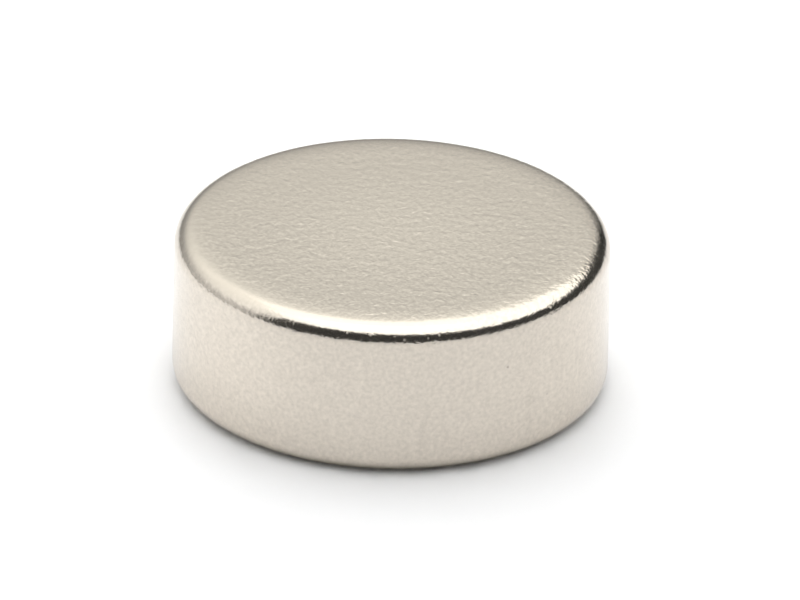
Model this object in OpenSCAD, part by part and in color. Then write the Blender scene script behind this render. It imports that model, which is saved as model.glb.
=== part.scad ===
// Plated disc magnet: one solid of revolution about Z, standing on its lower face.
// Tumbling has softened both edges alike. Each face runs flat, rolls off gently
// towards the rim, and then turns through a tight round into the straight side wall.

/* [Disc] */
// Diameter across the side wall
disc_d = 8; // [4:0.5:30]
// Thickness from face to face
disc_t = 3; // [1.5:0.5:20]

/* [Tumbled edges] */
// Radius of the tight round between roll-off and side wall
round_r = 0.33; // [0.1:0.01:0.5]
// Width of the gentle roll-off at the rim of each face
rolloff_w = 0.55; // [0.1:0.05:0.8]
// Slope in degrees that the roll-off has reached where the round takes over
rolloff_slope = 6; // [2:1:15]

/* [Hidden] */
$fn = 128;

nickel = [0.78, 0.75, 0.70];
wall_r = disc_d / 2;

// Steps that each arc of the section is drawn in
rolloff_steps = 7;
round_steps = 14;

// The roll-off is an arc that starts level, so its radius follows from width and slope
rolloff_r = rolloff_w / sin(rolloff_slope);
rolloff_drop = rolloff_r * (1 - cos(rolloff_slope));

// Centre of the round, which takes over from the roll-off at the same slope
round_x = wall_r - round_r;
round_z = disc_t - rolloff_drop - round_r * cos(rolloff_slope);

// Radius of the level part of each face
flat_r = round_x + round_r * sin(rolloff_slope) - rolloff_w;

// Points along an arc about a centre, from one slope to another, level being 0 degrees
function arc(centre, r, from, to, steps) = [
    for (i = [0 : steps])
        let (slope = from + (to - from) * i / steps)
        centre + r * [sin(slope), cos(slope)]
];

// The round's first point is the roll-off's last, so it starts one step further on
round_step = (90 - rolloff_slope) / round_steps;
upper_edge = concat(
    arc([flat_r, disc_t - rolloff_r], rolloff_r, 0, rolloff_slope, rolloff_steps),
    arc([round_x, round_z], round_r, rolloff_slope + round_step, 90, round_steps - 1)
);

// The lower edge is the upper one mirrored at half thickness, listed from the wall inwards
lower_edge = [
    for (i = [len(upper_edge) - 1 : -1 : 0])
        [upper_edge[i].x, disc_t - upper_edge[i].y]
];

// The whole magnet: half its section, turned about Z
module disc_magnet() {
    color(nickel)
        rotate_extrude()
            polygon(concat([[0, 0], [0, disc_t]], upper_edge, lower_edge));
}

disc_magnet();
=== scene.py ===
"""Bright nickel-plated disc magnet, standing on a pale bench under one overhead softbox.

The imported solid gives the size. The shown magnet is one closed surface of revolution with the
plating's orange-peel relief laid over it, and its finish is one nickel material.
"""

from math import cos, pi, radians, sin

import bpy
import numpy as np
from mathutils import Matrix, Vector


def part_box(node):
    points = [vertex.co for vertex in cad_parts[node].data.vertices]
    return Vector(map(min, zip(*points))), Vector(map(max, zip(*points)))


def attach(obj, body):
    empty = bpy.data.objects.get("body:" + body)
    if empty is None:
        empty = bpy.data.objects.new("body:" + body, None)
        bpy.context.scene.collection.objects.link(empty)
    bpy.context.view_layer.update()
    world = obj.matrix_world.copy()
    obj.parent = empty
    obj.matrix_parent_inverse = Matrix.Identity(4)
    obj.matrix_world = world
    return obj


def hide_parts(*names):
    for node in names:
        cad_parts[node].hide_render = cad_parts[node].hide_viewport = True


MM = 0.001
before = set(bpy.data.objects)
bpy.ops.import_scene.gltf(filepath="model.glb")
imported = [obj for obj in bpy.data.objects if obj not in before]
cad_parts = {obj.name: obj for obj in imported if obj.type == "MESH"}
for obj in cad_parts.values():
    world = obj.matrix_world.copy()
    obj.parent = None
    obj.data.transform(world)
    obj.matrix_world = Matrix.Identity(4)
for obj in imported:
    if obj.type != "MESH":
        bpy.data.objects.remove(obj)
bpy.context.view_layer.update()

# ---------------------------------------------------------------- sizes, in metres
disc_low, disc_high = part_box("disc_magnet")
DISC_R = (disc_high[0] - disc_low[0]) / 2
DISC_T = disc_high[2] - disc_low[2]

# Tumbled edge: its bend radius is huge on the face and eases down to the tight round
ROUND_R = 0.33 * MM
ROLLOFF_R = 13.5 * MM
ROLLOFF_FADE = radians(2.2)

# Orange-peel relief of the plating that the mesh carries
RELIEF = 0.00045 * MM
RELIEF_WAVE = (0.13 * MM, 0.26 * MM)
RELIEF_WAVES = 90
RELIEF_SEED = 8
RELIEF_ROOM = 4 * RELIEF

# Colour of the plating on the faces and, a shade cooler, on the wall. The wall's cooler tint is
# painted cool light: it stands in for the cooler light that the wall mirrors from the paper
NICKEL = (0.635, 0.58, 0.487)
WALL_NICKEL_PAINTED_COOL = (0.635, 0.579, 0.506)

# The faces' colour gets a little darker from their middle to their rim
FACE_RIM_DARKENING = 0.065
RIM_DARKENING_FROM_TO = (0.3 * MM, 3.0 * MM)

# Strength of the fine grain, easing off towards the back
GRAIN_FRONT = 1.05
GRAIN_BACK = 0.55
GRAIN_FROM_TO = (-2.2 * MM, 4.0 * MM)

# How much stronger the speckle in the shine is on the wall than on the faces
WALL_SPECKLE = 0.15

# By tilt: depth of the pebbles, of a finer bristle, and the share of it all that is worn away.
# The wear is on the left (-x) and fades out between the two x of WORN_FROM_TO
EDGE_TILT = np.radians([0, 1.5, 4, 10, 22, 36, 48, 58, 68, 80, 90])
PEBBLES = [1.0, 0.9, 0.8, 0.8, 0.9, 1.0, 1.0, 1.0, 1.2, 1.0, 0.6]
BRISTLE = [0, 0, 0.2, 0.8, 1.0, 0.8, 0.3, 0.2, 0.5, 0.5, 0]
WORN = [0, 0.05, 0.6, 0.85, 0.85, 0.75, 0.3, 0, 0, 0, 0]
WORN_FROM_TO = (3.0 * MM, 0)

# Mesh density. A circle has as many points as the border of a face's square grid. TURN_WEIGHT
# crowds the edge's rows where it turns: the whole turn counts for this much where the whole
# length counts for 1
FACE_CELLS = 160
AROUND = 4 * FACE_CELLS
EDGE_ROWS = 28
WALL_ROWS = 12
TURN_WEIGHT = 0.6
EDGE_SAMPLES = 2001

# ---------------------------------------------------------------- camera
VIEW_DISTANCE = 400 * MM
VIEW_ELEVATION = radians(27.2)
VIEW_ROLL = radians(1.23)
DISC_SHARE_OF_WIDTH = 0.5454
SIDE_STEP = 0.0404 * DISC_R
RISE_STEP = 0.0118 * DISC_R
CLIP_FROM = 10 * MM
CLIP_TO = 5

# The sensor and the lens are in millimetres, not metres
SENSOR_WIDTH = 36


def put_in_scene(name, data):
    """New object that holds the data, at the origin and unturned."""
    thing = bpy.data.objects.new(name, data)
    bpy.context.scene.collection.objects.link(thing)
    return thing


def make_camera():
    """Long lens a forearm's length away, looking down on the disc and rolled a little.

    The lens is the sensor's width times the distance over the width in view.
    """
    back = Vector((0, -cos(VIEW_ELEVATION), sin(VIEW_ELEVATION)))
    right = Vector((1, 0, 0))
    up = back.cross(right)
    turn = Matrix((right, up, back)).transposed() @ Matrix.Rotation(VIEW_ROLL, 3, "Z")
    centre = Vector((0, 0, DISC_T / 2))
    place = centre + back * VIEW_DISTANCE + turn @ Vector((SIDE_STEP, RISE_STEP, 0))
    data = bpy.data.cameras.new("camera")
    data.sensor_width = SENSOR_WIDTH
    width_in_view = 2 * DISC_R / DISC_SHARE_OF_WIDTH
    data.lens = data.sensor_width * VIEW_DISTANCE / width_in_view
    data.clip_start = CLIP_FROM
    data.clip_end = CLIP_TO
    camera = put_in_scene("camera", data)
    camera.matrix_world = Matrix.Translation(place) @ turn.to_4x4()
    bpy.context.scene.camera = camera


make_camera()


# ---------------------------------------------------------------- section of the magnet
def smooth(low, high, value):
    """Soft step from 0 at low to 1 at high: 3 s^2 - 2 s^3 of the share s of the way."""
    share = np.clip((value - low) / (high - low), 0, 1)
    return share * share * (3 - 2 * share)


def edge_section(tilt):
    """Radius and depth below the face where the edge has turned by tilt from level.

    The bend radius is ROUND_R + ROLLOFF_R * exp(-tilt / ROLLOFF_FADE). Its integral against
    cos(tilt) gives the radius and against sin(tilt) the depth, both in closed form.
    """
    rate = 1 / ROLLOFF_FADE
    norm = ROLLOFF_R / (1 + rate**2)
    fade = np.exp(-rate * tilt)
    left_to_go = norm * (np.exp(-rate * pi / 2) - fade * (np.sin(tilt) - rate * np.cos(tilt)))
    rolled_down = norm * (1 - fade * (np.cos(tilt) + rate * np.sin(tilt)))
    radius = DISC_R - ROUND_R * (1 - np.sin(tilt)) - left_to_go
    depth = ROUND_R * (1 - np.cos(tilt)) + rolled_down
    return radius, depth


def edge_tilts(rows):
    """Tilts of the edge's rows, spaced evenly by arc length plus TURN_WEIGHT times the turning.

    Each is a share of the whole edge's, and the arc length is the integral of the bend radius.
    """
    tilt = np.linspace(0, pi / 2, EDGE_SAMPLES)
    rate = 1 / ROLLOFF_FADE
    length = ROUND_R * tilt + ROLLOFF_R / rate * (1 - np.exp(-rate * tilt))
    pace = length / length[-1] + TURN_WEIGHT * tilt / tilt[-1]
    return np.interp(np.linspace(0, pace[-1], rows + 1), pace, tilt)


def magnet_rows():
    """Radius, height and tilt of each circle from the upper face's rim to the lower face's rim.

    The upper edge is followed by the upright wall, and the lower edge is the upper one mirrored.
    """
    tilt = edge_tilts(EDGE_ROWS)
    radius, depth = edge_section(tilt)
    wall = np.linspace(DISC_T - depth[-1], depth[-1], WALL_ROWS + 1)[1:-1]
    row_r = np.concatenate([radius, np.full(wall.size, DISC_R), radius[::-1]])
    row_z = np.concatenate([DISC_T - depth, wall, depth[::-1]])
    row_tilt = np.concatenate([tilt, np.full(wall.size, pi / 2), pi - tilt[::-1]])
    return row_r, row_z, row_tilt


# ---------------------------------------------------------------- skin of the magnet
def disc_grid(cells):
    """Square grid bent to a unit disc: each square ring turns into a circle of even steps.

    The larger of the two coordinates becomes the radius, and the smaller over the larger, times
    a quarter of pi, the angle from that axis.
    """
    side = np.linspace(-1, 1, cells + 1)
    a, b = np.meshgrid(side, side, indexing="ij")
    wide = abs(a) >= abs(b)
    ring = np.where(wide, a, b)
    share = np.divide(np.where(wide, b, a), ring, out=np.zeros_like(ring), where=ring != 0)
    turn = np.where(wide, share * pi / 4, pi / 2 - share * pi / 4)
    return ring * np.cos(turn), ring * np.sin(turn)


def rim_loop(index):
    """Indices round the border of a square grid, anticlockwise from its lower right corner."""
    return np.concatenate([index[-1, :-1], index[:0:-1, -1], index[0, :0:-1], index[:-1, 0]])


def even_skin():
    """Points and outward normals of the magnet before its relief: upper face, rows, lower face.

    A row is a circle at one radius and height, and its normals lean outwards by the row's tilt.
    The first and the last circle are the rims of the faces, where the faces' own points stand.
    """
    row_r, row_z, row_tilt = magnet_rows()
    grid_x, grid_y = disc_grid(FACE_CELLS)
    face_x, face_y = grid_x.ravel() * row_r[0], grid_y.ravel() * row_r[0]
    level = np.zeros(face_x.size)

    angle = -pi / 4 + np.arange(AROUND) * 2 * pi / AROUND
    ring_x = row_r[1:-1, None] * np.cos(angle)
    ring_y = row_r[1:-1, None] * np.sin(angle)
    ring_z = np.repeat(row_z[1:-1], AROUND)
    ring_lean = np.repeat(np.sin(row_tilt[1:-1]), AROUND)
    ring_up = np.repeat(np.cos(row_tilt[1:-1]), AROUND)
    ring_angle = np.tile(angle, row_r.size - 2)

    points = np.concatenate([
        np.stack([face_x, face_y, level + DISC_T], axis=1),
        np.stack([ring_x.ravel(), ring_y.ravel(), ring_z], axis=1),
        np.stack([face_x, face_y, level], axis=1),
    ])
    normals = np.concatenate([
        np.stack([level, level, level + 1], axis=1),
        np.stack([ring_lean * np.cos(ring_angle), ring_lean * np.sin(ring_angle), ring_up], axis=1),
        np.stack([level, level, level - 1], axis=1),
    ])
    return points, normals


def grid_cells(index, steps):
    """Cells of a grid of indices. The steps go from a cell's first corner to each of its corners."""
    size = np.array(index.shape) - 1
    return np.stack([index[i:i + size[0], j:j + size[1]] for i, j in steps], axis=-1).reshape(-1, 4)


def skin_cells(point_count):
    """Four-cornered cells of the skin, all facing outwards.

    The faces are square grids, and the bands between them join each circle to the one below.
    """
    face_side = FACE_CELLS + 1
    top = np.arange(face_side**2).reshape(face_side, face_side)
    bottom = point_count - face_side**2 + top
    rings = np.arange(top.size, bottom[0, 0]).reshape(-1, AROUND)
    loops = np.concatenate([rim_loop(top)[None], rings, rim_loop(bottom)[None]])
    above, below = loops[:-1], loops[1:]
    band = np.stack([below, np.roll(below, -1, 1), np.roll(above, -1, 1), above], axis=-1)
    anticlockwise = [(0, 0), (1, 0), (1, 1), (0, 1)]
    return np.concatenate([
        grid_cells(top, anticlockwise),
        band.reshape(-1, 4),
        grid_cells(bottom, anticlockwise[::-1]),
    ])


# ---------------------------------------------------------------- relief and finish by place
def orange_peel(points):
    """Sum of even waves in random directions, with unit spread: a smooth pebbled field."""
    draw = np.random.default_rng(RELIEF_SEED)
    way = draw.normal(size=(RELIEF_WAVES, 3))
    way /= np.linalg.norm(way, axis=1)[:, None]
    wave = draw.uniform(*RELIEF_WAVE, RELIEF_WAVES)
    start = draw.uniform(0, 2 * pi, RELIEF_WAVES)
    phase = points @ (way * (2 * pi / wave)[:, None]).T + start
    return np.cos(phase).sum(axis=1) * (2 / RELIEF_WAVES) ** 0.5


def unworn(points, tilt):
    """Share of the relief and grain that wear has left: 1 less WORN by tilt, times a fade by x."""
    return 1 - np.interp(tilt, EDGE_TILT, WORN) * smooth(*WORN_FROM_TO, points[:, 0])


def nickel_finish(points, normals, tilt, left):
    """What the nickel reads at each point: its tint, and how strong its grain is there.

    The tint goes from the faces' colour to the wall's by the square of the normal's lean, and
    is a little darker towards the rim of a face. The wall's cooler colour is painted cool light,
    for the cooler light that it mirrors from the paper. The grain fades by y and by what wear has
    left.
    """
    lean = np.hypot(*normals[:, :2].T)
    rim_darkening = FACE_RIM_DARKENING * smooth(*RIM_DARKENING_FROM_TO, np.hypot(*points[:, :2].T)) * abs(normals[:, 2])
    # The wall's share of the tint is painted cool light, for the cooler light it mirrors from the
    # paper
    share = lean[:, None] ** 2
    tint = np.array(NICKEL) * (1 - share) + np.array(WALL_NICKEL_PAINTED_COOL) * share
    fade = smooth(*GRAIN_FROM_TO, points[:, 1])
    grain = left * (GRAIN_FRONT + (GRAIN_BACK - GRAIN_FRONT) * fade)
    return {
        "tint": tint * (1 - rim_darkening)[:, None],
        "speckle": grain * (1 + WALL_SPECKLE * lean**2),
        "pebbles": grain * np.interp(tilt, EDGE_TILT, PEBBLES),
        "bristle": left * np.interp(tilt, EDGE_TILT, BRISTLE),
    }


def keep_on_points(mesh, name, values):
    """Store a number or a vector for each point of the mesh, for its material to read."""
    kind, slot = ("FLOAT", "value") if values.ndim == 1 else ("FLOAT_VECTOR", "vector")
    kept = mesh.attributes.new(name, kind, "POINT")
    kept.data.foreach_set(slot, values.ravel().astype(np.float32))


def smooth_mesh(name, points, cells, kept):
    """Smooth-shaded mesh of four-cornered cells from whole arrays, with the kept values on it."""
    mesh = bpy.data.meshes.new(name)
    mesh.vertices.add(len(points))
    mesh.vertices.foreach_set("co", points.ravel().astype(np.float32))
    mesh.loops.add(cells.size)
    mesh.loops.foreach_set("vertex_index", cells.ravel().astype(np.int32))
    mesh.polygons.add(len(cells))
    mesh.polygons.foreach_set("loop_start", np.arange(0, cells.size, 4, dtype=np.int32))
    mesh.polygons.foreach_set("use_smooth", np.ones(len(cells), dtype=bool))
    for key, values in kept.items():
        keep_on_points(mesh, key, values)
    mesh.update(calc_edges=True)
    mesh.validate()
    return mesh


def make_magnet():
    """The whole magnet as one closed skin: upper face, edge, wall, edge, lower face.

    Every point moves along its own normal by the relief, which only ever goes inwards.
    """
    points, normals = even_skin()
    tilt = np.arccos(abs(normals[:, 2]))
    left = unworn(points, tilt)
    finish = nickel_finish(points, normals, tilt, left)
    peel = np.clip(RELIEF * orange_peel(points), -RELIEF_ROOM, RELIEF_ROOM)
    lift = left * peel - RELIEF_ROOM
    points += normals * lift[:, None]
    return put_in_scene("magnet", smooth_mesh("magnet", points, skin_cells(len(points)), finish))


# ---------------------------------------------------------------- nickel plating
# Fine grain: pebbles and a finer bristle in the surface, and a speckle in its shine
PEBBLE_WAVE = 0.15 * MM
PEBBLE_DETAIL = 2.5
PEBBLE_WARP = 0.8
PEBBLE_HEIGHT = 0.0080 * MM
BRISTLE_WAVE = 0.08 * MM
BRISTLE_DETAIL = 1
SPECKLE_WAVE = 0.075 * MM
SPECKLE_DETAIL = 2
SPECKLE = 0.19

# Each finer layer of the grain is this strong beside the layer before it
LAYER_FADE = 0.6

# The grain is this much longer front to back than side to side
GRAIN_STRETCH = 1.3

# Roughness of the plating, and how much rougher and lighter a speck of strength 1 is
PLATING_ROUGHNESS = 0.18
SPECK_ROUGHNESS = 0.5
SPECK_LIGHT = 0.4

# Small marks on the skin: x, y, z and reach in mm, then strength
BRIGHT_SPECKS = [
    (-0.785, -3.856, 2.846, 0.030, 0.9), (-0.360, -3.914, 2.853, 0.044, 1.0),
    (0.260, -3.964, 2.782, 0.034, 0.8), (0.887, -3.844, 2.832, 0.028, 0.9),
    (0.689, -3.906, 2.795, 0.026, 0.7), (2.904, -2.661, 2.842, 0.032, 1.4),
]
DARK_DOTS = [
    (2.149, -3.374, 1.966, 0.034, 0.6), (2.877, -2.779, 1.126, 0.026, 0.45),
    (2.598, -3.042, 1.165, 0.160, 0.08),
]


def new_material(name):
    """Material with a node tree, and the tree's nodes and links."""
    material = bpy.data.materials.new(name)
    material.use_nodes = True
    return material, material.node_tree.nodes, material.node_tree.links


def nickel_plating():
    """Bright nickel: warm, a soft mirror, with the fine grain of a plated and tumbled skin."""
    material, nodes, links = new_material("bright_nickel")
    nodes.clear()

    def attribute(name, kind="Fac"):
        node = nodes.new("ShaderNodeAttribute")
        node.attribute_name = name
        return node.outputs[kind]

    def maths(operation, *values):
        node = nodes.new("ShaderNodeMath")
        node.operation = operation
        for socket, value in zip(node.inputs, values):
            if isinstance(value, (int, float)):
                socket.default_value = value
            else:
                links.new(value, socket)
        return node.outputs["Value"]

    def grain(wave, detail, warp=0):
        """Noise of the given wavelength, from about -0.5 to 0.5 round 0."""
        node = nodes.new("ShaderNodeTexNoise")
        node.inputs["Scale"].default_value = 1 / wave
        node.inputs["Detail"].default_value = detail
        node.inputs["Roughness"].default_value = LAYER_FADE
        node.inputs["Distortion"].default_value = warp
        links.new(grain_place.outputs["Vector"], node.inputs["Vector"])
        return maths("SUBTRACT", node.outputs["Fac"], 0.5)

    def spots(marks):
        """Sum of the marks: each falls evenly from its strength at its middle to 0 at its reach."""
        total = 0
        for x, y, z, reach, strength in marks:
            gap = nodes.new("ShaderNodeVectorMath")
            gap.operation = "DISTANCE"
            links.new(place, gap.inputs[0])
            gap.inputs[1].default_value = (x * MM, y * MM, z * MM)
            share = maths("MULTIPLY_ADD", gap.outputs["Value"], -1 / (reach * MM), 1)
            total = maths("MULTIPLY_ADD", maths("MAXIMUM", share, 0), strength, total)
        return total

    place = nodes.new("ShaderNodeTexCoord").outputs["Object"]
    grain_place = nodes.new("ShaderNodeVectorMath")
    grain_place.operation = "MULTIPLY"
    grain_place.inputs[1].default_value = (1, 1 / GRAIN_STRETCH, 1)
    links.new(place, grain_place.inputs[0])

    specks = spots(BRIGHT_SPECKS)
    speckle = maths("MULTIPLY", grain(SPECKLE_WAVE, SPECKLE_DETAIL), attribute("speckle"))
    tone = maths("MULTIPLY_ADD", speckle, 2 * SPECKLE, 1)
    tone = maths("SUBTRACT", maths("MULTIPLY_ADD", specks, SPECK_LIGHT, tone), spots(DARK_DOTS))
    tint = nodes.new("ShaderNodeVectorMath")
    tint.operation = "SCALE"
    links.new(attribute("tint", "Vector"), tint.inputs[0])
    links.new(tone, tint.inputs["Scale"])

    bump = nodes.new("ShaderNodeBump")
    bump.inputs["Distance"].default_value = PEBBLE_HEIGHT
    pebbles = grain(PEBBLE_WAVE, PEBBLE_DETAIL, PEBBLE_WARP)
    swell = maths("MULTIPLY", pebbles, attribute("pebbles"))
    bristle = grain(BRISTLE_WAVE, BRISTLE_DETAIL)
    links.new(maths("MULTIPLY_ADD", bristle, attribute("bristle"), swell), bump.inputs["Height"])

    shader = nodes.new("ShaderNodeBsdfPrincipled")
    shader.inputs["Metallic"].default_value = 1
    roughness = maths("MULTIPLY_ADD", specks, SPECK_ROUGHNESS, PLATING_ROUGHNESS)
    links.new(roughness, shader.inputs["Roughness"])
    links.new(tint.outputs["Vector"], shader.inputs["Base Color"])
    links.new(bump.outputs["Normal"], shader.inputs["Normal"])
    out = nodes.new("ShaderNodeOutputMaterial")
    links.new(shader.outputs["BSDF"], out.inputs["Surface"])
    return material


magnet = make_magnet()
magnet.data.materials.append(nickel_plating())
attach(magnet, "root")
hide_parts("disc_magnet")


# ---------------------------------------------------------------- bench
# Half the side of the bench
BENCH_HALF = 3.0

# How far light spreads inside the paper, which softens the shadow where the magnet stands
PAPER_SPREAD = 0.5 * MM
PAPER_ROUGHNESS = 0.5
PAPER_COLOUR = (0.988, 0.994, 1.0)

# Painted light and shade on the paper: its colour goes up by a soft step along the way below,
# between these places on it, greyer to the front right and paler to the back left, standing in
# for how the light falls on the bench
PAINTED_LIGHT_WAY = (-0.35, 1, 0)
PAINTED_LIGHT_FROM_TO = (-8.5 * MM, 2.5 * MM)
PAINTED_PAPER_SHADES = (0.84, 0.99)


def pale_paper():
    """Smooth pale paper with a faint sheen, painted a little greyer to the front than to the back
    left: painted light and shade.
    """
    material, nodes, links = new_material("pale_paper")
    shader = nodes["Principled BSDF"]
    shader.inputs["Roughness"].default_value = PAPER_ROUGHNESS
    shader.subsurface_method = "BURLEY"
    shader.inputs["Subsurface Weight"].default_value = 1
    shader.inputs["Subsurface Radius"].default_value = (1, 1, 1)
    shader.inputs["Subsurface Scale"].default_value = PAPER_SPREAD
    place = nodes.new("ShaderNodeTexCoord")
    along = nodes.new("ShaderNodeVectorMath")
    along.operation = "DOT_PRODUCT"
    along.inputs[1].default_value = PAINTED_LIGHT_WAY
    # Painted light and shade: the paper's colour steps up from the front right to the back left
    shade = nodes.new("ShaderNodeMapRange")
    shade.interpolation_type = "SMOOTHSTEP"
    shade.inputs["From Min"].default_value = PAINTED_LIGHT_FROM_TO[0]
    shade.inputs["From Max"].default_value = PAINTED_LIGHT_FROM_TO[1]
    shade.inputs["To Min"].default_value = PAINTED_PAPER_SHADES[0]
    shade.inputs["To Max"].default_value = PAINTED_PAPER_SHADES[1]
    tint = nodes.new("ShaderNodeVectorMath")
    tint.operation = "SCALE"
    tint.inputs[0].default_value = PAPER_COLOUR
    links.new(place.outputs["Object"], along.inputs[0])
    links.new(along.outputs["Value"], shade.inputs["Value"])
    links.new(shade.outputs["Result"], tint.inputs["Scale"])
    links.new(tint.outputs["Vector"], shader.inputs["Base Color"])
    return material


def make_bench():
    """Flat pale sheet that the magnet stands on."""
    mesh = bpy.data.meshes.new("bench")
    half = BENCH_HALF
    corners = [(-half, -half, 0), (half, -half, 0), (half, half, 0), (-half, half, 0)]
    mesh.from_pydata(corners, [], [(0, 1, 2, 3)])
    mesh.materials.append(pale_paper())
    bench = put_in_scene("bench", mesh)


# ---------------------------------------------------------------- light
# Overhead softbox: a level ellipse above the magnet, set a little behind it and to the right
BOX_HEIGHT = 0.6
BOX_CENTRE = (0.145, 0.183)
BOX_WIDTH = 1.53
BOX_DEPTH = 1.295
BOX_RADIANCE = 2.02

# Hot middle of the softbox, straight above the magnet
LAMP_HEIGHT = 0.57
LAMP_WIDTH = 0.39
LAMP_RADIANCE = 0.8

# White card curved round the back and the left, glowing more towards its top. Its bearings are
# counted from the back (+y), to the left below 0 and to the right above it. Its rises are angles
# up from the bench, seen from the magnet
CARD_RADIUS = 0.3
CARD_FROM = radians(-119)
CARD_TO = radians(30)
CARD_BEARING = np.radians([-118, -100, -40, 2, 30])
CARD_TOP = np.radians([44, 58, 60, 36, 34])
CARD_RISE = np.radians([0, 10, 16, 20, 25, 28, 30, 33, 38, 45, 60])
BACK_GLOW = [0.36, 0.36, 0.5, 0.66, 0.85, 0.93, 1.0, 1.08, 1.27, 1.46, 1.68]
LEFT_GLOW = [0.74, 0.76, 0.83, 0.93, 1.1, 1.2, 1.28, 1.34, 1.4, 1.42, 1.58]
CARD_STEPS = 120
CARD_ROWS = 40

# Bearings between which the back's glow turns into the left's, and the width of each end's fade
LEFT_FROM_TO = (radians(-25), radians(-70))
LEFT_END_FADE = radians(16)
RIGHT_END_FADE = radians(28)

# Extra glow halfway up the card, just left of the middle of the back, and where it comes and goes
CARD_PATCH = 0.17
PATCH_RIGHT_SIDE = (radians(-3), radians(-8))
PATCH_LEFT_SIDE = (radians(-50), radians(-30))
PATCH_LOWER_SIDE = (radians(20), radians(27))
PATCH_UPPER_SIDE = (radians(46), radians(37))

# The dark room round the set
ROOM_GREY = 0.052


def light_from_above(name, centre, height, width, depth, radiance):
    """Level elliptical area light that shines straight down.

    Its power is its radiance times pi times the area of the ellipse.
    """
    light = bpy.data.lights.new(name, "AREA")
    light.shape = "ELLIPSE"
    light.size = width
    light.size_y = depth
    light.energy = radiance * pi * (pi / 4) * width * depth
    put_in_scene(name, light).location = (*centre, height)


def card_glow(bearing, rise):
    """Radiance of the card, read off by rise, and by bearing from the back's to the left's.

    Where the patch is, CARD_PATCH adds its share, and at both ends the glow fades to nothing.
    """
    left = smooth(*LEFT_FROM_TO, bearing)
    back_glow = np.interp(rise, CARD_RISE, BACK_GLOW)
    left_glow = np.interp(rise, CARD_RISE, LEFT_GLOW)
    glow = (1 - left) * back_glow + left * left_glow
    patch = smooth(*PATCH_RIGHT_SIDE, bearing) * smooth(*PATCH_LEFT_SIDE, bearing)
    patch *= smooth(*PATCH_LOWER_SIDE, rise) * smooth(*PATCH_UPPER_SIDE, rise)
    glow *= 1 + CARD_PATCH * patch
    glow *= smooth(CARD_TO, CARD_TO - RIGHT_END_FADE, bearing)
    glow *= smooth(CARD_FROM, CARD_FROM + LEFT_END_FADE, bearing)
    return glow


def glowing_card():
    """Plain glow, as strong as the card's mesh says at each point."""
    material, nodes, links = new_material("glowing_card")
    nodes.clear()
    level = nodes.new("ShaderNodeAttribute")
    level.attribute_name = "glow"
    light = nodes.new("ShaderNodeEmission")
    out = nodes.new("ShaderNodeOutputMaterial")
    links.new(level.outputs["Fac"], light.inputs["Strength"])
    links.new(light.outputs["Emission"], out.inputs["Surface"])
    return material


def make_card():
    """Part of an upright cylinder round the magnet, which the camera doesn't see.

    A point is CARD_RADIUS times (sin bearing, cos bearing, tan rise), and the rise goes evenly
    from the bench to the card's top at that bearing.
    """
    bearings = np.linspace(CARD_FROM, CARD_TO, CARD_STEPS + 1)
    shares = np.linspace(0, 1, CARD_ROWS + 1)
    bearing, share = np.meshgrid(bearings, shares, indexing="ij")
    rise = share * np.interp(bearing, CARD_BEARING, CARD_TOP)
    points = np.stack([np.sin(bearing), np.cos(bearing), np.tan(rise)], axis=-1) * CARD_RADIUS
    index = np.arange(bearing.size).reshape(bearing.shape)
    cells = grid_cells(index, [(0, 0), (0, 1), (1, 1), (1, 0)])
    mesh = bpy.data.meshes.new("card")
    mesh.from_pydata(points.reshape(-1, 3).tolist(), [], cells.tolist())
    keep_on_points(mesh, "glow", card_glow(bearing, rise).ravel())
    mesh.materials.append(glowing_card())
    card = put_in_scene("card", mesh)
    card.visible_camera = False


def make_room():
    """Dark room round the set."""
    world = bpy.data.worlds.new("room")
    world.use_nodes = True
    background = world.node_tree.nodes["Background"]
    background.inputs["Color"].default_value = (ROOM_GREY, ROOM_GREY, ROOM_GREY, 1)
    bpy.context.scene.world = world


make_bench()
light_from_above("softbox", BOX_CENTRE, BOX_HEIGHT, BOX_WIDTH, BOX_DEPTH, BOX_RADIANCE)
light_from_above("lamp", (0, 0), LAMP_HEIGHT, LAMP_WIDTH, LAMP_WIDTH, LAMP_RADIANCE)
make_card()
make_room()
bpy.context.scene.view_settings.view_transform = "Standard"
